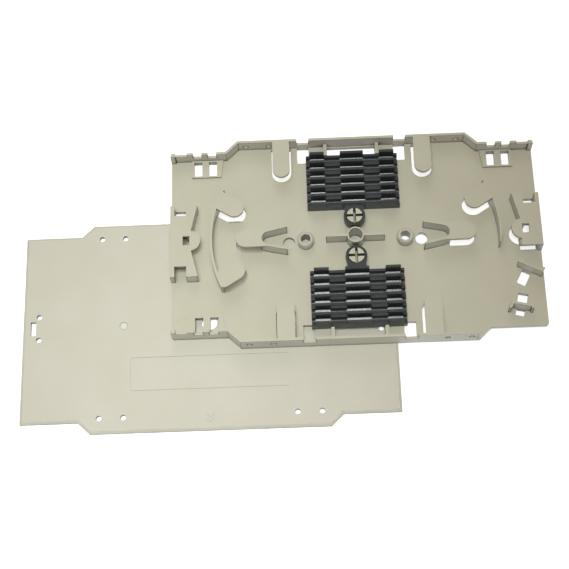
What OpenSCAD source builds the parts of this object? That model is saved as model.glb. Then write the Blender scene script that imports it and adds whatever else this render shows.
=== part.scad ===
// Fibre splice tray with a loose lid and two push-on splice holders.
// Origin: axis of the centre boss, on the underside of the tray.
// X runs along the tray, Y across it, Z up.

/* [Tray plate] */
// Overall length of the tray
tray_l = 163; // [161:0.5:175]
// Width across the middle section
tray_w = 96; // [95:0.5:104]
// Width across the two end sections
end_w = 85.8; // [85:0.2:88]
// Length of the middle section at its full width
mid_l = 102.8; // [100:0.2:104]
// Length of the middle section at the foot of its chamfers
neck_l = 113.6; // [112:0.2:116]
// Radius of the four outer corners
corner_r = 1.2; // [0.6:0.1:2]
// Thickness of the floor
floor_t = 2; // [1.5:0.1:2.5]
// Diameter of the ejector mark in the front left corner
eject_d = 4.9; // [4:0.1:6]
// Distance of the ejector mark from the tray end
eject_x = 4.5; // [3.6:0.1:5.4]
// Distance of the ejector mark from the long axis
eject_y = 35.8; // [33:0.1:37]
// Depth of the ejector mark
eject_t = 0.1; // [0.05:0.05:0.3]

/* [Side walls] */
// Height of the side walls above the underside
wall_h = 9; // [8.6:0.1:12]
// Thickness of the side walls
wall_t = 1.2; // [1:0.1:1.6]
// Height of the low stretches of wall beside each holder
low_h = 5; // [4:0.1:7]
// Distance from the middle of the tray to a low stretch
low_x = 19.2; // [18:0.1:21]
// Length of a low stretch of wall
low_l = 5.3; // [4.6:0.1:6]
// Reach of the floor opening beside a low stretch
low_win_l = 7.8; // [5:0.1:8]
// Place along the front wall where it drops to the floor on the open corner
open_x = 50; // [49.5:0.1:51]
// Distance of the inner snap holes from the middle
snap_in_x = 37.2; // [36.9:0.1:38]
// Distance of the outer snap holes from the middle
snap_out_x = 47.6; // [46:0.1:48]
// Height of the snap holes in the walls
snap_z = 5.2; // [4.6:0.1:6]
// Diameter of the snap holes
snap_d = 2.4; // [2:0.1:3]

/* [Tie places] */
// Distance from the tray end to the first tie window
tie_x = 12.1; // [11.9:0.1:12.4]
// Spacing of the two tie windows
tie_pitch = 6.6; // [6:0.1:7]
// Width of a tie window
tie_w = 3.6; // [2.8:0.1:3.8]
// Length of a tie window across the tray
tie_l = 6.9; // [4:0.1:7]
// Distance from the outer face of the wall to a tie window
tie_edge = 1.9; // [1.8:0.1:2.3]
// Rise of the tie pad above the floor
pad_h = 0.9; // [0.5:0.1:1.5]
// Distance from the tray end to the tie pad
pad_x = 9.2; // [8.8:0.1:9.8]
// Width of the tie pad inside the wall
pad_w = 8.4; // [8.2:0.1:10]
// Length of the tie pad at the wall
pad_l = 14.5; // [12:0.1:14.8]
// Slant of the tie pad's inner end
pad_skew = 1.3; // [0.5:0.1:1.8]
// Height of the wall left under a tie notch
notch_h = 5.5; // [4.5:0.1:7]
// Length of the corner posts
post_l = 2.1; // [1.6:0.1:2.6]
// Depth of a corner post's return along the end of the tray
post_return = 0.6; // [0.3:0.1:2]
// Height of the sunk stretch of wall beside a corner post
sunk_h = 7.5; // [6.5:0.1:8.2]
// Length of the sunk stretch of wall
sunk_l = 5.2; // [4:0.1:5.6]

/* [Fibre fingers] */
// Distance of each finger from the middle
finger_x = 31.7; // [31:0.1:32.5]
// Width of a finger
finger_w = 7.6; // [6.5:0.1:8.2]
// Reach of a finger from the outer face of the wall
finger_l = 18.7; // [16:0.1:21]
// Reach of the floor opening under a finger from the outer face of the wall
finger_slot_l = 18; // [16:0.1:21]
// Thickness of the fingers, tongues and platform roofs
lip_t = 1.4; // [1:0.1:1.8]
// Margin of the floor opening round a finger or tongue
core_gap = 0.6; // [0.4:0.1:0.7]

/* [Bend guides] */
// Outer radius of the arc walls
arc_r = 54.4; // [54:0.1:55]
// Offset of each arc centre past the middle of the tray
arc_off = 9.8; // [9:0.1:10]
// Thickness of the arc walls
arc_t = 1.1; // [0.9:0.1:1.5]
// Half width of an arc wall across the tray
arc_y = 24; // [22:0.1:25]
// Half width of the long arc wall on the front side
arc_front_y = 22.4; // [22:0.1:25]
// End of the short arc wall on the front side
arc_short_y = 6.1; // [5.5:0.1:7.5]
// Length of the slanted point that ends the short arc wall
arc_point_l = 4; // [2:0.1:5]
// Width of a tongue at the end of an arc wall
tongue_w = 8.4; // [7:0.1:9]
// Distance of a tongue's round end from the middle of the tray
tongue_x = 53.1; // [52.5:0.1:54]
// Distance of a tongue's round end from the long axis
tongue_y = 15; // [14:0.1:15.5]
// Slant of the tongues
tongue_a = 32; // [28:1:36]
// Distance of the V guide's nose from the middle
v_x = 42.2; // [42:0.1:43]
// Radius of the nose of the V guide
v_r = 3.95; // [3.5:0.05:4.3]
// Half opening angle of the V guide
v_a = 12.5; // [10:0.5:14]
// Distance of the open mouth of the V guide from the middle
v_mouth_x = 30; // [29.9:0.1:33]
// Thickness of the V guide's wall
v_t = 1; // [0.8:0.1:1.3]
// Reach of the flat tongue in front of the V guide's nose
v_tongue_l = 10.4; // [9:0.1:10.9]

/* [Bosses] */
// Outer diameter of the centre boss
hub_d = 7.4; // [7:0.1:7.8]
// Bore of the centre boss
hub_bore = 6.2; // [4:0.1:6.4]
// Distance of the side bosses from the middle
boss_x = 22; // [19.5:0.1:22.5]
// Outer diameter of the side bosses
boss_d = 7.3; // [6.4:0.1:7.6]
// Bore of the side bosses
boss_bore = 4.4; // [3.4:0.1:5.2]
// Height of the side bosses above the underside
boss_h = 6.2; // [5:0.1:7]
// Chamfer round the top of the side bosses
boss_c = 0.6; // [0.2:0.1:1]
// Distance of the free floor holes from the middle
hole_x = 29.3; // [28.8:0.1:29.6]
// Diameter of the free floor holes
hole_d = 5.4; // [4.6:0.1:5.8]
// End of the ribs beside the centre boss
rib_x = 12.9; // [10:0.1:14]
// Height of the ribs beside the centre boss
rib_h = 8.8; // [6:0.1:9]
// Thickness of the ribs
rib_t = 1.1; // [0.8:0.1:1.4]
// Distance of the two snap posts from the middle
peg_y = 9.5; // [9.3:0.1:9.9]
// Diameter of the snap posts
peg_d = 6.9; // [6:0.1:7]
// Height of the snap posts above the underside
peg_h = 8.4; // [8.1:0.1:9]
// Width of the cross slots that split the snap posts
peg_slot = 1.2; // [0.8:0.1:1.6]

/* [End platforms] */
// Half length of the platform across the tray
plat_y = 17; // [16.8:0.1:18]
// Depth of the platform from the tray end at its wide ends
plat_deep = 12; // [11.5:0.1:12.5]
// Depth of the platform from the tray end at its waist
plat_waist = 9.2; // [8.8:0.1:9.6]
// Radius of the round bump on the platform
bump_r = 4.7; // [4.5:0.1:5]
// Thickness of the platform's legs
leg_t = 1.8; // [1.2:0.1:2]
// Width of the notches in the platform's roof
plat_notch_w = 5.2; // [4.4:0.1:5.6]
// Depth of the notches in the platform's roof
plat_notch_l = 4.9; // [4:0.1:5.4]
// Distance from the tray end to the inner edge of the roof window
plat_win_x = 8.5; // [8:0.1:8.7]
// Width of the window in the platform's roof
plat_win_w = 3; // [2:0.1:3.6]
// Length of the window in the platform's roof
plat_win_l = 4.2; // [3:0.1:5]
// Distance from the tray end to the floor opening under the roof window
plat_core_x = 3.8; // [3:0.1:4.6]
// Reach of that floor opening towards the rear
plat_core_y = 5; // [4:0.1:6]
// Length of the short platform on its front side
plat_short_y = 8; // [7.2:0.1:9]
// Margin of floor left round the front opening of the short platform
plat_rim = 0.6; // [0.4:0.1:1]

/* [Latch ribs] */
// Height of the slanted latch ribs
latch_h = 8; // [6:0.1:9]
// Length of the rear latch rib
latch1_l = 11.6; // [10:0.1:12]
// Slant of the rear latch rib
latch1_a = 27.7; // [24:0.1:30]
// Length of the front latch rib
latch2_l = 9.7; // [8:0.1:10]
// Length of the long leg of the front latch rib
latch2_leg = 2.8; // [2:0.1:3.6]
// Projection of the hook at the other end of the front latch rib
latch2_hook = 0.6; // [0.3:0.1:1.2]
// Slant of the front latch rib
latch2_a = 13.1; // [10:0.1:16]
// Width of the floor window in front of the rear latch rib
latch1_win_w = 3.9; // [3:0.1:4.4]
// Length of the floor window in front of the rear latch rib
latch1_win_l = 6.5; // [5:0.1:7]
// Width of the floor window behind the front latch rib
latch2_win_w = 4.3; // [3.4:0.1:5]
// Length of the floor window behind the front latch rib
latch2_win_l = 4; // [3:0.1:4.4]
// Width of the floor window in front of the front latch rib
latch3_win_w = 3.8; // [3:0.1:4.4]
// Length of the floor window in front of the front latch rib
latch3_win_l = 2.8; // [2:0.1:3.4]

/* [Splice holders] */
// Length of a holder along the tray
hold_l = 41.2; // [39:0.1:42]
// Width of a holder across the tray
hold_w = 26; // [25:0.1:26.6]
// Distance from the middle of the tray to a holder
hold_y = 15; // [14.6:0.1:15.2]
// Number of splice channels in a holder
chan_n = 6; // [4:1:6]
// Thickness of the fins between the channels
fin_t = 1.2; // [1:0.1:1.6]
// Radius of the rounded corners at the bottom of a channel
chan_r = 1.1; // [0.6:0.1:1.1]
// Thickness of the holder under a channel
hold_base_t = 1.2; // [0.8:0.1:1.6]
// Height of the fins' tall columns above the holder's underside
tall_h = 7; // [6:0.1:8]
// Height of the fins between the tall columns
fin_low_h = 3; // [2.9:0.1:5]
// Half length of the centre column
col_in = 5.2; // [4.5:0.1:6]
// Inner edge of the side columns
col_a = 12.4; // [11.5:0.1:13]
// Outer edge of the side columns
col_b = 18.9; // [17:0.1:19]
// Radial clearance of the eyelet round its snap post
eye_clear = 0.15; // [0.1:0.05:0.3]
// Wall of the eyelet
eye_t = 1.1; // [1:0.1:1.3]
// Height of the eyelet
eye_h = 3.5; // [2:0.1:4]
// Drop of the eyelet below the tall columns
eye_drop = 1; // [0.5:0.1:2]
// Width of the eyelet's neck along the tray
neck_w = 8.2; // [4:0.1:8.4]
// Side clearance between a holder and the ribs that locate it
hold_clear = 0.2; // [0.1:0.05:0.4]
// Half span of the opening behind a holder
back_x = 10.8; // [9:0.1:11]
// Thickness of the ribs that locate a holder
back_rib_t = 1.6; // [1.2:0.1:2]

/* [Cover] */
// Thickness of the cover
cover_t = 2; // [1.5:0.1:3]
// Width of the bevel round the cover
bevel_w = 1; // [0.5:0.1:2]
// Drop of the bevel at the cover's edge
bevel_h = 0.5; // [0.3:0.1:1.2]
// Distance from the cover's edge to its snap holes
cover_snap_y = 6.6; // [5:0.1:8]
// Distance from the cover's end to its end holes
cover_end_x = 6.9; // [5:0.1:8]
// Distance of the cover's end holes from its long axis
cover_end_y = 5.3; // [4.6:0.1:7]
// Distance from the cover's end to its end slot
cover_slot_x = 3.3; // [2.6:0.1:4]
// Width of the cover's end slots
cover_slot_w = 2.3; // [1.5:0.1:2.5]
// Length of the cover's end slots
cover_slot_l = 6.3; // [5:0.1:7]
// Diameter of the cover's centre hole
cover_hub_d = 6.8; // [6:0.1:8]
// Half length of the bare label field on the cover
label_x = 34.3; // [30:0.1:36]
// Far edge of the label field from the cover's long axis
label_y1 = 30; // [26:0.1:32]
// Near edge of the label field from the cover's long axis
label_y0 = 14.8; // [12:0.1:18]
// Width of the shallow grooves in the cover
groove_w = 0.4; // [0.2:0.1:0.6]
// Depth of the shallow grooves in the cover
groove_d = 0.2; // [0.1:0.05:0.4]
// Distance of the two round marks from the middle of the cover
mark_x = 37.5; // [35:0.1:40]
// Diameter of the round marks
mark_d = 3.3; // [2.5:0.1:4]
// Length of the opening arrow on the cover
arrow_l = 4; // [3:0.1:6]
// Distance of the arrow's tip from the cover's long axis
arrow_y = 45; // [40:0.1:46]
// Shift of the loose cover along the tray
cover_dx = -65.2; // [-80:0.1:-50]
// Shift of the loose cover across the tray
cover_dy = -35.4; // [-45:0.1:-25]

/* [Hidden] */
$fn = 64;
over = 0.5;
fuse = 0.1;
end_x = tray_l / 2;
chamfer_a = atan2(tray_w - end_w, neck_l - mid_l);
wall_in = wall_t * tan(chamfer_a / 2);
plat_waist_y = 5.3;
plat_bar = 0.8;
plat_taper = 0.6;
plat_leg_lean = 0.4;
bump_shift = 0.7;
tie_side = 0.1;
v_cx = v_x - v_r;
v_slot_gap = 0.8 * core_gap;
hold_lap = 1;
wall_run = tray_l + 4 * corner_r;
latch1_p = [6.15, -17.5];
latch1_win_p = [-1, -4.2];
latch2_p = [11.2, -34.9];
latch2_win_p = [-0.1, 4.9];
latch3_win_x = -0.2;
latch_foot_l = 3;
latch_foot_w = 2.2;
latch_lean = 0.8;
chan_w = (hold_w - fin_t) / chan_n - fin_t;

function tie_left(k) = end_x - tie_x - k * tie_pitch - tie_w / 2;

// Outline of the tray and of its cover: two end sections and a wider middle
module plate_2d(l, w, ew, ml, nl, r) {
    polygon([
        [l / 2 - r, -ew / 2], [l / 2, r - ew / 2], [l / 2, ew / 2 - r], [l / 2 - r, ew / 2],
        [nl / 2, ew / 2], [ml / 2, w / 2], [-ml / 2, w / 2], [-nl / 2, ew / 2],
        [r - l / 2, ew / 2], [-l / 2, ew / 2 - r], [-l / 2, r - ew / 2], [r - l / 2, -ew / 2],
        [-nl / 2, -ew / 2], [-ml / 2, -w / 2], [ml / 2, -w / 2], [nl / 2, -ew / 2]
    ]);
    for (sx = [-1, 1], sy = [-1, 1])
        translate([sx * (l / 2 - r), sy * (ew / 2 - r)])
            circle(r = r);
}

module both_sides() {
    children();
    mirror([0, 1, 0]) children();
}

module both_ends() {
    children();
    mirror([1, 0, 0]) children();
}

// Straight tongue with a round end on the origin, running towards +Y
module tongue_2d(w, l) {
    circle(d = w);
    translate([-w / 2, 0]) square([w, l]);
}

// Slanted rectangle in a frame measured from the end of the tray
module slant_2d(p, a, u, v, w, l) {
    translate([end_x - p[0], p[1]])
        rotate(-a)
            translate([u - w / 2, v - l / 2])
                square([w, l]);
}

// Both long walls as thin strips that follow the outline
module wall_2d() {
    difference() {
        plate_2d(tray_l, tray_w, end_w, mid_l, neck_l, corner_r);
        plate_2d(wall_run, tray_w - 2 * wall_t, end_w - 2 * wall_t,
            mid_l - 2 * wall_in, neck_l - 2 * wall_in, corner_r);
    }
}

// Cuts on one quarter of the wall: low stretch, snap holes, tie notches, sunk stretch
module wall_cuts(ties) {
    translate([low_x, tray_w / 2 - wall_t - over, low_h])
        cube([low_l, wall_t + 2 * over, wall_h]);
    for (x = [snap_in_x, snap_out_x])
        translate([x, tray_w / 2 + over, snap_z])
            rotate([90, 0, 0])
                cylinder(d = snap_d, h = wall_t + 2 * over, $fn = 32);
    if (ties) {
        for (k = [0, 1])
            translate([tie_left(k) - tie_side, end_w / 2 - wall_t - over, notch_h])
                cube([tie_w + 2 * tie_side, wall_t + 2 * over, wall_h]);
        translate([end_x - post_l - sunk_l, end_w / 2 - wall_t - over, sunk_h])
            cube([sunk_l, wall_t + 2 * over, wall_h]);
    } else {
        translate([open_x, end_w / 2 - wall_t - over, floor_t])
            cube([end_x + over - open_x, tray_w, wall_h]);
    }
}

module side_walls() {
    difference() {
        linear_extrude(wall_h) wall_2d();
        both_ends() wall_cuts(true);
        mirror([0, 1, 0]) wall_cuts(false);
        rotate(180) wall_cuts(true);
    }
}

// Corner post with its short return along the end of the tray
module corner_post() {
    linear_extrude(wall_h)
        intersection() {
            plate_2d(tray_l, tray_w, end_w, mid_l, neck_l, corner_r);
            translate([end_x - post_l, end_w / 2 - wall_t - post_return])
                square([post_l + over, wall_t + post_return + over]);
        }
}

// Raised pad under the two cable ties, with a slanted inner end
module tie_pad() {
    translate([end_x - pad_x, end_w / 2 - wall_t, 0])
        linear_extrude(floor_t + pad_h)
            polygon([[0, over], [-pad_l, over], [pad_skew - pad_l, -pad_w], [0, -pad_w]]);
}

module tie_windows() {
    for (k = [0, 1])
        translate([tie_left(k), end_w / 2 - tie_edge - tie_l, -over])
            cube([tie_w, tie_l, floor_t + pad_h + 2 * over]);
}

module finger() {
    translate([finger_x, tray_w / 2 - finger_l + finger_w / 2, wall_h - lip_t])
        linear_extrude(lip_t)
            tongue_2d(finger_w, finger_l - finger_w / 2 - wall_t / 2);
}

module finger_slot() {
    r = finger_w / 2 + core_gap;
    translate([finger_x, tray_w / 2 - finger_slot_l + r])
        tongue_2d(2 * r, finger_slot_l - r - wall_t - core_gap);
}

// Arc wall at the right end, between two places across the tray
module arc_2d(y0, y1) {
    intersection() {
        translate([arc_off, 0])
            difference() {
                circle(r = arc_r, $fn = 180);
                circle(r = arc_r - arc_t, $fn = 180);
            }
        translate([arc_off, y0])
            square([arc_r, y1 - y0]);
    }
}

// Slanted tongue that reaches from the end of an arc wall towards the middle
module arc_tongue_2d(gap, reach, y1) {
    intersection() {
        translate([tongue_x, tongue_y])
            rotate(tongue_a - 90)
                tongue_2d(tongue_w + 2 * gap, arc_y);
        translate([arc_off, 0]) circle(r = reach, $fn = 180);
        square([end_x, y1]);
    }
}

// Slanted cut that brings the short arc wall to a blunt point
module arc_point_2d() {
    x0 = arc_off + sqrt(pow(arc_r - arc_t, 2) - pow(arc_short_y, 2)) + arc_t / 4;
    translate([x0, -arc_short_y])
        rotate(atan2(arc_point_l, arc_t))
            translate([-over, -arc_r]) square([2 * arc_point_l, arc_r]);
}

module short_arc_guide() {
    linear_extrude(wall_h)
        difference() {
            arc_2d(-arc_short_y, arc_y);
            arc_point_2d();
        }
    translate([0, 0, wall_h - lip_t])
        linear_extrude(lip_t) arc_tongue_2d(0, arc_r - fuse, arc_y);
}

module long_arc_guide() {
    linear_extrude(wall_h) arc_2d(-arc_front_y, arc_y);
    translate([0, 0, wall_h - lip_t])
        linear_extrude(lip_t) {
            arc_tongue_2d(0, arc_r - fuse, arc_y);
            mirror([0, 1, 0]) arc_tongue_2d(0, arc_r - fuse, arc_front_y);
        }
}

// One outline of the V guide: round nose and two arms that open towards the middle
module v_shape_2d(r, x0) {
    y0 = (r + (v_cx - x0) * sin(v_a)) / cos(v_a);
    polygon([
        [x0, y0], [v_cx + r * sin(v_a), r * cos(v_a)],
        [v_cx + r * sin(v_a), -r * cos(v_a)], [x0, -y0]
    ]);
    translate([v_cx, 0]) circle(r = r);
}

module v_guide() {
    linear_extrude(wall_h)
        difference() {
            v_shape_2d(v_r, v_mouth_x);
            v_shape_2d(v_r - v_t, v_mouth_x - over);
        }
    translate([0, 0, wall_h - lip_t])
        linear_extrude(lip_t)
            difference() {
                translate([v_x + v_tongue_l - v_r, 0])
                    rotate(90)
                        tongue_2d(2 * v_r, v_tongue_l);
                v_shape_2d(v_r - v_t / 2, v_mouth_x);
            }
}

// Floor opening under the flat tongue of the V guide
module v_slot() {
    difference() {
        translate([v_x + v_tongue_l - v_r, 0])
            rotate(90)
                tongue_2d(2 * v_r + v_slot_gap, v_tongue_l - v_r + core_gap);
        v_shape_2d(v_r + fuse, v_mouth_x);
    }
}

// Outline of an end platform; the short one stops early on the front side
module platform_2d(short) {
    y1 = short ? plat_short_y : plat_y;
    polygon([
        [end_x, plat_y], [end_x - plat_deep, plat_y], [end_x - plat_waist, plat_waist_y],
        [end_x - plat_waist, -plat_waist_y],
        [end_x - (short ? plat_waist + plat_taper : plat_deep), -y1],
        [end_x, -y1]
    ]);
    bump_2d(0);
}

// Round bump of a platform's roof towards the middle
module bump_2d(gap) {
    translate([end_x - plat_waist + bump_shift, 0]) circle(r = bump_r + gap);
}

// Hollow under a platform's roof, between its outer leg and its slanted inner legs
module platform_hollow_2d(short) {
    polygon([
        [end_x - leg_t, plat_y - leg_t], [end_x - plat_deep + leg_t + plat_leg_lean, plat_y - leg_t],
        [end_x - plat_waist + leg_t, plat_waist_y], [end_x - plat_waist + leg_t, -plat_waist_y],
        [end_x - plat_deep + leg_t + plat_leg_lean, leg_t - plat_y], [end_x - leg_t, leg_t - plat_y]
    ]);
    if (short)
        translate([end_x - plat_deep, -plat_y]) square([plat_deep - leg_t, plat_y - plat_waist_y]);
    else
        platform_notch_2d(-plat_y, plat_y);
    platform_notch_2d(plat_y - 2 * plat_notch_l, 2 * plat_notch_l);
    translate([end_x - plat_deep - bump_r, -plat_win_l / 2])
        square([plat_deep, plat_win_l]);
    difference() {
        bump_2d(over);
        translate([end_x - plat_waist, -2 * bump_r]) square(4 * bump_r);
    }
}

// Stretch of a platform between its outer leg and its notches, from y0 over length l
module platform_notch_2d(y0, l) {
    translate([end_x - leg_t - plat_notch_w, y0 - over])
        square([plat_notch_w, l + 2 * over]);
}

module platform_window_2d() {
    translate([end_x - plat_win_x, -plat_win_l / 2])
        square([plat_win_w, plat_win_l]);
}

// Floor opening through which the roof window is seen
module platform_core_2d() {
    translate([end_x - plat_waist + leg_t, -plat_win_l / 2])
        square([plat_waist - leg_t - plat_core_x, plat_core_y + plat_win_l / 2]);
}

module platform_roof_2d(short) {
    difference() {
        platform_2d(short);
        platform_notch_2d(plat_y - plat_notch_l + over, plat_notch_l);
        if (!short)
            platform_notch_2d(-plat_y - over, plat_notch_l);
        platform_window_2d();
    }
}

module platform(short) {
    translate([0, 0, wall_h - lip_t])
        linear_extrude(lip_t) platform_roof_2d(short);
    translate([0, 0, floor_t - over])
        linear_extrude(wall_h - floor_t - lip_t + 2 * over)
            difference() {
                platform_roof_2d(short);
                platform_hollow_2d(short);
            }
}

// Floor openings of a platform: under its rear notch, its window and its open front
module platform_slots(short) {
    open_y = plat_short_y - plat_rim - plat_win_l / 2 - plat_bar;
    translate([end_x - leg_t - plat_notch_w, plat_y - plat_notch_l])
        square([plat_notch_w, plat_notch_l]);
    platform_core_2d();
    if (short) {
        translate([end_x - plat_waist, plat_rim - plat_short_y])
            square([plat_waist - leg_t - plat_rim / 2, open_y]);
        difference() {
            bump_2d(core_gap / 2);
            translate([end_x - plat_waist - fuse, -2 * bump_r]) square(4 * bump_r);
        }
    }
}

// Polygon in the frame of a latch rib: u along the rib, v across it
module latch_foot(p, a, points) {
    translate([end_x - p[0], p[1]])
        rotate(-a)
            polygon(points);
}

module latch_ribs() {
    u1 = latch1_l / 2;
    u2 = latch2_l / 2;
    hook = rib_t / 2 + latch2_hook;
    linear_extrude(latch_h) {
        slant_2d(latch1_p, latch1_a, 0, 0, latch1_l, rib_t);
        latch_foot(latch1_p, latch1_a, [[u1 - latch_foot_l, 0], [u1, latch_foot_w], [u1, 0]]);
        slant_2d(latch2_p, latch2_a, 0, 0, latch2_l, rib_t);
        slant_2d(latch2_p, latch2_a, u2 - rib_t / 2, -hook / 2, rib_t, hook);
        latch_foot(latch2_p, latch2_a, [
            [-u2, 0], [rib_t - u2, 0],
            [rib_t - latch_lean - u2, -latch2_leg], [-u2 - latch_lean, -latch2_leg]
        ]);
    }
}

module latch_windows() {
    slant_2d(latch1_p, latch1_a, latch1_win_p[0], latch1_win_p[1], latch1_win_w, latch1_win_l);
    slant_2d(latch2_p, latch2_a, latch2_win_p[0], latch2_win_p[1], latch2_win_w, latch2_win_l);
    slant_2d(latch2_p, latch2_a, latch3_win_x, -(rib_t + latch3_win_l) / 2, latch3_win_w, latch3_win_l);
}

// Split post that a holder's eyelet is pushed over
module snap_post() {
    translate([0, peg_y, 0])
        difference() {
            cylinder(d = peg_d, h = peg_h);
            translate([-peg_slot / 2, -peg_d, floor_t]) cube([peg_slot, 2 * peg_d, peg_h]);
            translate([-peg_d, -peg_slot / 2, floor_t]) cube([2 * peg_d, peg_slot, peg_h]);
        }
}

module bosses() {
    cylinder(d = hub_d, h = wall_h);
    both_ends() {
        translate([boss_x, 0, 0]) {
            cylinder(d = boss_d, h = boss_h - boss_c);
            translate([0, 0, boss_h - boss_c]) cylinder(d1 = boss_d, d2 = boss_d - 2 * boss_c, h = boss_c);
        }
        translate([0, -rib_t / 2, 0])
            cube([rib_x, rib_t, rib_h]);
    }
}

module boss_bores() {
    translate([0, 0, -over]) cylinder(d = hub_bore, h = wall_h + 2 * over);
    for (s = [-1, 1]) {
        translate([s * boss_x, 0, -over]) cylinder(d = boss_bore, h = boss_h + 2 * over);
        translate([s * hole_x, 0, -over]) cylinder(d = hole_d, h = floor_t + 2 * over);
    }
}

// Two short ribs between the wall and a holder
module locating_ribs() {
    y0 = hold_y + hold_w + hold_clear;
    both_ends()
        translate([back_x + fuse, y0, 0])
            cube([back_rib_t, tray_w / 2 - wall_t / 2 - y0, low_h]);
}

module floor_2d() {
    difference() {
        plate_2d(tray_l, tray_w, end_w, mid_l, neck_l, corner_r);
        both_sides()
            both_ends() {
                finger_slot();
                translate([low_x, tray_w / 2 - wall_t - low_win_l])
                    square([low_l - fuse, low_win_l - fuse]);
            }
        both_sides()
            translate([-back_x, hold_y + hold_w - hold_lap])
                square([2 * back_x, tray_w / 2 - wall_t - core_gap - hold_y - hold_w + hold_lap]);
        both_ends() {
            v_slot();
            arc_tongue_2d(core_gap, arc_r - arc_t - fuse, arc_y);
        }
        rotate(180) arc_tongue_2d(core_gap, arc_r - arc_t - fuse, arc_front_y);
        platform_slots(true);
        mirror([1, 0, 0]) platform_slots(false);
        latch_windows();
    }
}

module tray() {
    color("#c8c5ae")
        difference() {
            union() {
                linear_extrude(floor_t) floor_2d();
                side_walls();
                both_ends() {
                    corner_post();
                    tie_pad();
                    both_sides() finger();
                    both_sides() locating_ribs();
                    v_guide();
                }
                rotate(180) {
                    corner_post();
                    tie_pad();
                }
                short_arc_guide();
                mirror([1, 0, 0]) long_arc_guide();
                platform(true);
                mirror([1, 0, 0]) platform(false);
                latch_ribs();
                both_sides() snap_post();
                bosses();
            }
            both_ends() tie_windows();
            rotate(180) tie_windows();
            boss_bores();
            translate([eject_x - end_x, -eject_y, floor_t - eject_t])
                cylinder(d = eject_d, h = 2 * eject_t);
        }
}

// Cross section of a holder: fins with channels that are rounded at the bottom
module holder_2d(h) {
    difference() {
        square([hold_w, h]);
        for (k = [0 : chan_n - 1])
            translate([fin_t + k * (chan_w + fin_t), hold_base_t]) {
                for (y = [chan_r, chan_w - chan_r])
                    translate([y, chan_r]) circle(r = chan_r, $fn = 32);
                translate([chan_r, 0]) square([chan_w - 2 * chan_r, h]);
                translate([0, chan_r]) square([chan_w, h]);
            }
    }
}

// Stretch of a holder along the tray, from x0 to x1
module holder_column(h, x0, x1) {
    translate([x0, hold_y, floor_t])
        rotate([90, 0, 90])
            linear_extrude(x1 - x0) holder_2d(h);
}

// Splice holder, with its eyelet towards the middle of the tray
module holder() {
    eye_z = floor_t + tall_h - eye_drop - eye_h;
    difference() {
        union() {
            holder_column(fin_low_h, -hold_l / 2, hold_l / 2);
            holder_column(tall_h, -col_in, col_in);
            both_ends() holder_column(tall_h, col_a, col_b);
            translate([0, peg_y, eye_z])
                cylinder(r = peg_d / 2 + eye_clear + eye_t, h = eye_h);
            translate([-neck_w / 2, peg_y, eye_z])
                cube([neck_w, hold_y + fin_t / 2 - peg_y, eye_h]);
        }
        translate([0, peg_y, floor_t - over])
            cylinder(r = peg_d / 2 + eye_clear, h = tall_h + 2 * over);
    }
}

module rear_holder() {
    color("#23282b") holder();
}

module front_holder() {
    color("#23282b") rotate(180) holder();
}

// Convex plate whose top edge is bevelled along the first n sides
module bevelled_plate(pts, n) {
    z0 = -bevel_h * (1 + over / bevel_w);
    difference() {
        linear_extrude(cover_t) polygon(pts);
        for (i = [0 : n - 1]) {
            p = pts[i];
            q = pts[(i + 1) % len(pts)];
            translate([p[0], p[1], cover_t])
                rotate(atan2(q[1] - p[1], q[0] - p[0]))
                    rotate([90, 0, 90])
                        translate([0, 0, -bevel_w])
                            linear_extrude(norm(q - p) + 2 * bevel_w)
                                polygon([[-over, z0], [bevel_w, 0], [bevel_w, over], [-over, over]]);
        }
    }
}

module cover_blank() {
    bevelled_plate([
        [-end_x, -end_w / 2], [end_x, -end_w / 2], [end_x, end_w / 2], [-end_x, end_w / 2]
    ], 4);
    both_sides()
        bevelled_plate([
            [-neck_l / 2, -end_w / 2], [-mid_l / 2, -tray_w / 2], [mid_l / 2, -tray_w / 2],
            [neck_l / 2, -end_w / 2], [neck_l / 2, 0], [-neck_l / 2, 0]
        ], 3);
}

// Shallow marks of the cover: frame of the bare label field, two round marks, an arrow
module cover_marks_2d() {
    w = groove_w;
    difference() {
        translate([-label_x, -label_y1]) square([2 * label_x, label_y1 - label_y0]);
        translate([w - label_x, w - label_y1])
            square([2 * (label_x - w), label_y1 - label_y0 - 2 * w]);
    }
    both_ends()
        translate([mark_x, 0]) circle(d = mark_d, $fn = 32);
    for (k = [0, 1])
        translate([0, k * arrow_l / 2 - arrow_y])
            polygon([
                [0, 0], [arrow_l / 2, arrow_l / 2], [arrow_l / 2, arrow_l / 2 + w],
                [0, w], [-arrow_l / 2, arrow_l / 2 + w], [-arrow_l / 2, arrow_l / 2]
            ]);
}

module cover() {
    color("#d0ccba")
        translate([cover_dx, cover_dy, -cover_t])
            difference() {
                cover_blank();
                translate([0, 0, cover_t - groove_d])
                    linear_extrude(2 * groove_d) cover_marks_2d();
                translate([0, 0, -over]) cylinder(d = cover_hub_d, h = cover_t + 2 * over);
                for (sx = [-1, 1], sy = [-1, 1]) {
                    for (x = [snap_in_x, snap_out_x])
                        translate([sx * x, sy * (tray_w / 2 - cover_snap_y), -over])
                            cylinder(d = snap_d, h = cover_t + 2 * over, $fn = 32);
                    translate([sx * (end_x - cover_end_x), sy * cover_end_y, -over])
                        cylinder(d = snap_d, h = cover_t + 2 * over, $fn = 32);
                }
                for (s = [-1, 1])
                    translate([s * (end_x - cover_slot_x - cover_slot_w / 2), 0, 0])
                        cube([cover_slot_w, cover_slot_l, 3 * cover_t], center = true);
            }
}

tray();
cover();
rear_holder();
front_holder();
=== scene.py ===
"""Looks of the fibre splice tray: moulded plastics, floor, light and camera.

Lengths are in metres.  A name in brackets after a length is its name in part.scad.
"""
import math

import bpy
from mathutils import Matrix, Vector


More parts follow.
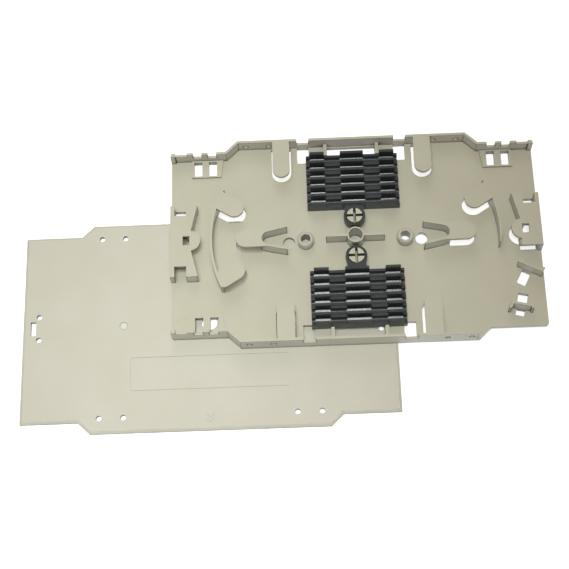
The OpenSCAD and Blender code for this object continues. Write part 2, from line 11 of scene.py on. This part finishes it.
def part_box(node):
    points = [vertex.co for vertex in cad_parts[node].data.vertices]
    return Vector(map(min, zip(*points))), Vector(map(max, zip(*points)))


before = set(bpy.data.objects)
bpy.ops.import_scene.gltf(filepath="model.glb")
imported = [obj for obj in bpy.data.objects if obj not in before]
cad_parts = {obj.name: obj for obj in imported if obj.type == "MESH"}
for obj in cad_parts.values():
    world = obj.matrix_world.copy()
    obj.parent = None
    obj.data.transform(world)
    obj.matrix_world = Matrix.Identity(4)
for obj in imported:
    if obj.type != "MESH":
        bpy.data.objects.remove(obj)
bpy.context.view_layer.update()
COVER_LOW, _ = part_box("cover")

# Splice holders
HOLDER_Y, HOLDER_W = 0.015, 0.026  # near side, and width over the fins (hold_y, hold_w)
HOLDER_MID = HOLDER_Y + HOLDER_W / 2
FIN_T = 0.0012  # (fin_t)
CHANNELS = 6  # (chan_n)
CHANNEL_PITCH = (HOLDER_W - FIN_T) / CHANNELS
COLUMN_IN = 0.0052  # half width of the tall middle column (col_in)
COLUMN_A, COLUMN_B = 0.0124, 0.0189  # near and far side of a tall outer column (col_a, col_b)
CRADLE_TOP = 0.0040  # above the holder's base and below its low fins
CRADLE_TILT = 0.62  # slope of the dish at its rim
CRADLE_ROUGH = 0.2

# Round marks on the lid, with a painted highlight in the middle and painted shade on the rim
COVER_X, COVER_Y = -0.0652, -0.0354  # middle of the lid (cover_dx, cover_dy)
MARK_X = 0.0375  # from the middle of the lid to each mark (mark_x)
MARK_Z = -0.0002  # floor of a mark (groove_d)
MARK_R = 0.00165  # (mark_d / 2)
MARK_PAINTED_LIGHT_STRENGTH = 0.6
MARK_RIM_PAINTED_SHADE = (0.55, 0.55, 0.52, 1.0)
MARK_MIDDLE_PAINTED_HIGHLIGHT = (1.0, 0.99, 0.9, 1.0)

# Plastics
PLASTIC_IOR = 1.5
CLOUD_SCALE, GLOSS_SCALE, GRAIN_SCALE = 45.0, 160.0, 1800.0
GLOSS_SPREAD = 0.05
GRAIN_DEPTH = 0.0001
EDGE_REACH = 0.0009  # width of the painted shade band along the edge of a side face
EDGE_SHADE_STRENGTH = 0.95
# Painted shade: the colour that darkens the edges of side faces.
EDGE_PAINTED_SHADE = (0.1, 0.1, 0.1, 1.0)
HOLE_REACH = 0.004  # how near the opposite wall has to be
# Painted shade: the colour that darkens the walls of holes and windows.
HOLE_PAINTED_SHADE = (0.2, 0.2, 0.2, 1.0)

# Floor
FLOOR_HALF = 2.0
FLOOR_DROP = 0.00005  # below the lid, so that the two faces don't share a plane
FLOOR_GLOW = 0.7

# Lamps: place, target, cone in degrees, watts, colour and radius
LAMPS = {
    "key": ((-0.12, -0.14, 0.82), (-0.105, -0.05, 0.0), 36, 22.5, (0.94, 0.98, 1.0), 0.2),
    "glint": ((0.03, -0.29, 0.80), (0.0, 0.0, 0.0), 40, 3.0, (1.0, 1.0, 1.0), 0.05),
    "fill": ((-0.12, 0.48, 0.46), (-0.08, 0.0, 0.0), 46, 4.5, (1.0, 0.98, 0.95), 0.25),
}
ROOM_COLOUR = (1.0, 0.89, 0.77, 1.0)
ROOM_STRENGTH = 0.24

# Camera, at the photograph's viewing angle
CAMERA_PLACE = Vector((-0.022337, -0.233787, 0.550085))
CAMERA_RIGHT = Vector((0.99917, -0.02892, -0.02886))
CAMERA_FORWARD = Vector((-0.01637, 0.36387, -0.93131))
CAMERA_LENS, SENSOR_WIDTH = 84.96, 36.0  # millimetres


# ---------------------------------------------------------------- node helpers

class Nodes:
    """Adds and links shader nodes in one new material."""

    def __init__(self, name):
        self.material = bpy.data.materials.new(name)
        self.material.use_nodes = True
        self.tree = self.material.node_tree
        self.shader = self.tree.nodes["Principled BSDF"]

    def add(self, kind, **values):
        """A new node; each value goes to the input of that name, or else to the property."""
        node = self.tree.nodes.new(kind)
        for key, value in values.items():
            if key in node.inputs:
                node.inputs[key].default_value = value
            else:
                setattr(node, key, value)
        return node

    def link(self, source, target):
        self.tree.links.new(source, target)

    def feed(self, socket, value):
        """Sets an input to a number, or links it to another node's output."""
        if isinstance(value, (int, float)):
            socket.default_value = value
        else:
            self.link(value, socket)

    def math(self, operation, first, second=None):
        node = self.add("ShaderNodeMath", operation=operation)
        self.feed(node.inputs[0], first)
        if second is not None:
            self.feed(node.inputs[1], second)
        return node.outputs[0]

    def map(self, value, from_min, from_max, to_min=0.0, to_max=1.0):
        """A value carried from one range to another, and clamped there."""
        node = self.add("ShaderNodeMapRange")
        limits = {"From Min": from_min, "From Max": from_max, "To Min": to_min, "To Max": to_max}
        for key, limit in limits.items():
            node.inputs[key].default_value = limit
        self.link(value, node.inputs["Value"])
        return node.outputs["Result"]

    def tint(self, factor, colour, other, blend="MIX"):
        """A colour blended with a constant one."""
        node = self.add("ShaderNodeMix", data_type="RGBA", blend_type=blend)
        self.link(factor, node.inputs["Factor"])
        self.link(colour, node.inputs[6])
        node.inputs[7].default_value = other
        return node.outputs[2]

    def place(self):
        return self.add("ShaderNodeTexCoord").outputs["Object"]

    def noise(self, scale, **values):
        node = self.add("ShaderNodeTexNoise", Scale=scale, **values)
        self.link(self.place(), node.inputs["Vector"])
        return node.outputs["Fac"]

    def split(self, vector):
        """The X, Y and Z of a vector, by name."""
        node = self.add("ShaderNodeSeparateXYZ")
        self.link(vector, node.inputs[0])
        return node.outputs


def linear(*rgb):
    """An sRGB colour of 0 to 255 as linear RGBA."""
    def channel(value):
        v = value / 255
        return v / 12.92 if v <= 0.04045 else ((v + 0.055) / 1.055) ** 2.4
    return tuple(channel(v) for v in rgb) + (1.0,)


# ---------------------------------------------------------------- parts of the plastics

def cradle_mask(n, place, normal):
    """1 on the floors of the channels in the tall columns of a holder."""
    x = n.math("ABSOLUTE", place["X"])
    inner = n.math("LESS_THAN", x, COLUMN_IN)
    outer = n.math("MULTIPLY", n.math("GREATER_THAN", x, COLUMN_A),
                   n.math("LESS_THAN", x, COLUMN_B))
    low = n.math("LESS_THAN", place["Z"], CRADLE_TOP)
    upward = n.math("GREATER_THAN", n.split(normal)["Z"], 0.1)
    return n.math("MULTIPLY", n.math("MAXIMUM", inner, outer), n.math("MULTIPLY", low, upward))


def cradle_slope(n, place):
    """Slope of the dish across a channel: 0 along its middle and steepest at the fins."""
    from_mid = n.math("SUBTRACT", n.math("ABSOLUTE", place["Y"]), HOLDER_MID + CHANNEL_PITCH / 2)
    across = n.math("DIVIDE", from_mid, CHANNEL_PITCH)
    offset = n.math("SUBTRACT", across, n.math("ROUND", across))
    signed = n.math("MULTIPLY", offset, n.math("SIGN", place["Y"]))
    return n.math("MULTIPLY", signed, -2.0 * CRADLE_TILT)


def cradles(n):
    """Mask of the cradles that carry the splices, and their dished normal."""
    place = n.split(n.place())
    normal = n.add("ShaderNodeNewGeometry").outputs["Normal"]
    mask = cradle_mask(n, place, normal)
    dish = n.add("ShaderNodeCombineXYZ", Z=1.0)
    n.link(cradle_slope(n, place), dish.inputs["Y"])
    turned = n.add("ShaderNodeVectorTransform", vector_type="NORMAL", convert_from="OBJECT",
                   convert_to="WORLD")
    n.link(dish.outputs[0], turned.inputs[0])
    mixed = n.add("ShaderNodeMix", data_type="VECTOR")
    n.link(mask, mixed.inputs["Factor"])
    n.link(normal, mixed.inputs[4])
    n.link(turned.outputs[0], mixed.inputs[5])
    unit = n.add("ShaderNodeVectorMath", operation="NORMALIZE")
    n.link(mixed.outputs[1], unit.inputs[0])
    return mask, unit.outputs[0]


def painted_light_round_marks(n, colour):
    """Round marks of the mould on both ends of the lid, with a painted highlight in the middle and
    painted shade on the rim.
    """
    place = n.place()
    for side in (-1, 1):
        apart = n.add("ShaderNodeVectorMath", operation="DISTANCE")
        n.link(place, apart.inputs[0])
        apart.inputs[1].default_value = (COVER_X + side * MARK_X, COVER_Y, MARK_Z)
        distance = apart.outputs["Value"]
        # Painted shade on the rim, then a painted highlight in the middle of each mark.
        rim = n.map(distance, 1.2 * MARK_R, MARK_R)
        colour = n.tint(n.math("MULTIPLY", rim, MARK_PAINTED_LIGHT_STRENGTH), colour, MARK_RIM_PAINTED_SHADE, "MULTIPLY")
        middle = n.map(distance, MARK_R, 0.75 * MARK_R)
        colour = n.tint(n.math("MULTIPLY", middle, MARK_PAINTED_LIGHT_STRENGTH), colour, MARK_MIDDLE_PAINTED_HIGHLIGHT)
    return colour


def side_faces(n):
    """1 on steep side faces and 0 on level ones: the mask where shade and a lighter, cooler grey
    are painted on the sides.
    """
    normal = n.split(n.add("ShaderNodeNewGeometry").outputs["True Normal"])
    return n.map(n.math("ABSOLUTE", normal["Z"]), 0.8, 0.4)


def painted_shade_edges(n):
    """1 on side faces close to an edge or a corner: the mask of painted shade along edges and under
    lips.
    """
    rounded = n.add("ShaderNodeBevel", samples=6, Radius=EDGE_REACH)
    bend = n.add("ShaderNodeVectorMath", operation="DOT_PRODUCT")
    n.link(rounded.outputs["Normal"], bend.inputs[0])
    n.link(n.add("ShaderNodeNewGeometry").outputs["True Normal"], bend.inputs[1])
    return n.math("MULTIPLY", n.map(bend.outputs["Value"], 0.995, 0.93), side_faces(n))


def painted_shade_hollows(n):
    """1 on side faces that look at another face nearby, such as the walls of holes and windows: the
    mask of painted shade in hollows.
    """
    shade = n.add("ShaderNodeAmbientOcclusion", samples=8, Distance=HOLE_REACH)
    return n.math("MULTIPLY", n.map(shade.outputs["AO"], 0.85, 0.35), side_faces(n))


def painted_shade_sides(n, colour):
    """Paints shade on the edges of side faces and on the walls of holes."""
    # Painted shade along edges, then painted shade on the walls of holes.
    edges = n.math("MULTIPLY", painted_shade_edges(n), EDGE_SHADE_STRENGTH)
    colour = n.tint(edges, colour, EDGE_PAINTED_SHADE, "MULTIPLY")
    return n.tint(painted_shade_hollows(n), colour, HOLE_PAINTED_SHADE, "MULTIPLY")


def cloudy_colour(n, dark, light):
    """Two near shades in soft clouds."""
    ramp = n.add("ShaderNodeValToRGB")
    for stop, position, shade in zip(ramp.color_ramp.elements, (0.3, 0.7), (dark, light)):
        stop.position = position
        stop.color = shade
    n.link(n.noise(CLOUD_SCALE, Detail=4.0, Roughness=0.55), ramp.inputs["Fac"])
    return ramp.outputs["Color"]


def finish_surface(n, colour, rough, grain, dished=False):
    """Slightly uneven gloss and fine grain, with dished glossy cradles on a holder."""
    gloss = n.noise(GLOSS_SCALE, Detail=3.0)
    roughness = n.map(gloss, 0.0, 1.0, rough - GLOSS_SPREAD, rough + GLOSS_SPREAD)
    relief = n.add("ShaderNodeBump", Strength=grain, Distance=GRAIN_DEPTH)
    n.link(n.noise(GRAIN_SCALE, Detail=2.0), relief.inputs["Height"])
    if dished:
        mask, normal = cradles(n)
        n.link(normal, relief.inputs["Normal"])
        roughness = n.math("SUBTRACT", roughness, n.math("MULTIPLY", mask, rough - CRADLE_ROUGH))
    n.link(colour, n.shader.inputs["Base Color"])
    n.link(roughness, n.shader.inputs["Roughness"])
    n.link(relief.outputs["Normal"], n.shader.inputs["Normal"])
    n.shader.inputs["IOR"].default_value = PLASTIC_IOR
    return n.material


# ---------------------------------------------------------------- plastics

def tray_plastic():
    n = Nodes("tray_plastic")
    colour = cloudy_colour(n, linear(202, 199, 177), linear(208, 205, 184))
    # Painted light: the side faces are painted a lighter, cooler grey for light that the lamps
    # don't give them.
    colour = n.tint(side_faces(n), colour, linear(210, 211, 201))
    return finish_surface(n, painted_shade_sides(n, colour), rough=0.38, grain=0.12)


def cover_plastic():
    n = Nodes("cover_plastic")
    colour = cloudy_colour(n, linear(211, 208, 190), linear(216, 213, 197))
    # Painted highlight and painted shade on the round marks.
    colour = painted_light_round_marks(n, colour)
    return finish_surface(n, painted_shade_sides(n, colour), rough=0.36, grain=0.1)


def holder_plastic():
    n = Nodes("holder_plastic")
    colour = cloudy_colour(n, linear(46, 50, 50), linear(58, 62, 62))
    return finish_surface(n, colour, rough=0.4, grain=0.1, dished=True)


def dress(node, material):
    """Gives a CAD node its plastic."""
    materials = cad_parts[node].data.materials
    materials.clear()
    materials.append(material)


def dress_all():
    dress("tray", tray_plastic())
    dress("cover", cover_plastic())
    holder = holder_plastic()
    dress("rear_holder", holder)
    dress("front_holder", holder)


# ---------------------------------------------------------------- floor, light, camera

def white_ground():
    """Grey to the lamps, so that it takes a shadow, and white to the camera."""
    n = Nodes("floor_white")
    rays = n.add("ShaderNodeLightPath").outputs
    seen = n.math("MAXIMUM", rays["Is Camera Ray"], rays["Is Glossy Ray"])
    seen = n.math("MAXIMUM", seen, rays["Is Transmission Ray"])
    n.link(n.math("MULTIPLY", seen, FLOOR_GLOW), n.shader.inputs["Emission Strength"])
    n.shader.inputs["Emission Color"].default_value = (1.0, 1.0, 1.0, 1.0)
    n.shader.inputs["Base Color"].default_value = (0.8, 0.8, 0.8, 1.0)
    n.shader.inputs["Roughness"].default_value = 0.9
    return n.material


def build_floor():
    """Plain ground just under the lid."""
    z = COVER_LOW.z - FLOOR_DROP
    corners = [(x * FLOOR_HALF, y * FLOOR_HALF, z) for x, y in ((-1, -1), (1, -1), (1, 1), (-1, 1))]
    mesh = bpy.data.meshes.new("floor")
    mesh.from_pydata(corners, [], [(0, 1, 2, 3)])
    mesh.materials.append(white_ground())
    floor = bpy.data.objects.new("floor", mesh)
    bpy.context.scene.collection.objects.link(floor)


def build_lamp(name, place, target, cone, power, colour, radius):
    """A soft-edged spot lamp turned towards its target."""
    data = bpy.data.lights.new(name, "SPOT")
    data.spot_size = math.radians(cone)
    data.spot_blend = 1.0
    data.shadow_soft_size = radius
    data.energy = power
    data.color = colour
    lamp = bpy.data.objects.new(name, data)
    lamp.location = place
    lamp.rotation_euler = (Vector(target) - Vector(place)).to_track_quat("-Z", "Y").to_euler()
    bpy.context.scene.collection.objects.link(lamp)


def build_lights():
    """A lamp above the left that fades to the right, two lesser ones, and a dim warm room."""
    for name, lamp in LAMPS.items():
        build_lamp(name, *lamp)
    world = bpy.data.worlds.new("studio")
    world.use_nodes = True
    room = world.node_tree.nodes["Background"]
    room.inputs["Color"].default_value = ROOM_COLOUR
    room.inputs["Strength"].default_value = ROOM_STRENGTH
    bpy.context.scene.world = world


def build_camera():
    """Looks down on the tray from in front, at a slight roll."""
    data = bpy.data.cameras.new("camera")
    data.sensor_width = SENSOR_WIDTH
    data.lens = CAMERA_LENS
    forward = CAMERA_FORWARD.normalized()
    up = CAMERA_RIGHT.normalized().cross(forward).normalized()
    right = forward.cross(up).normalized()
    turn = Matrix((right, up, -forward)).transposed()
    camera = bpy.data.objects.new("camera", data)
    camera.matrix_world = Matrix.Translation(CAMERA_PLACE) @ turn.to_4x4()
    bpy.context.scene.collection.objects.link(camera)
    bpy.context.scene.camera = camera


dress_all()
build_floor()
build_lights()
build_camera()
bpy.context.scene.view_settings.view_transform = "Standard"
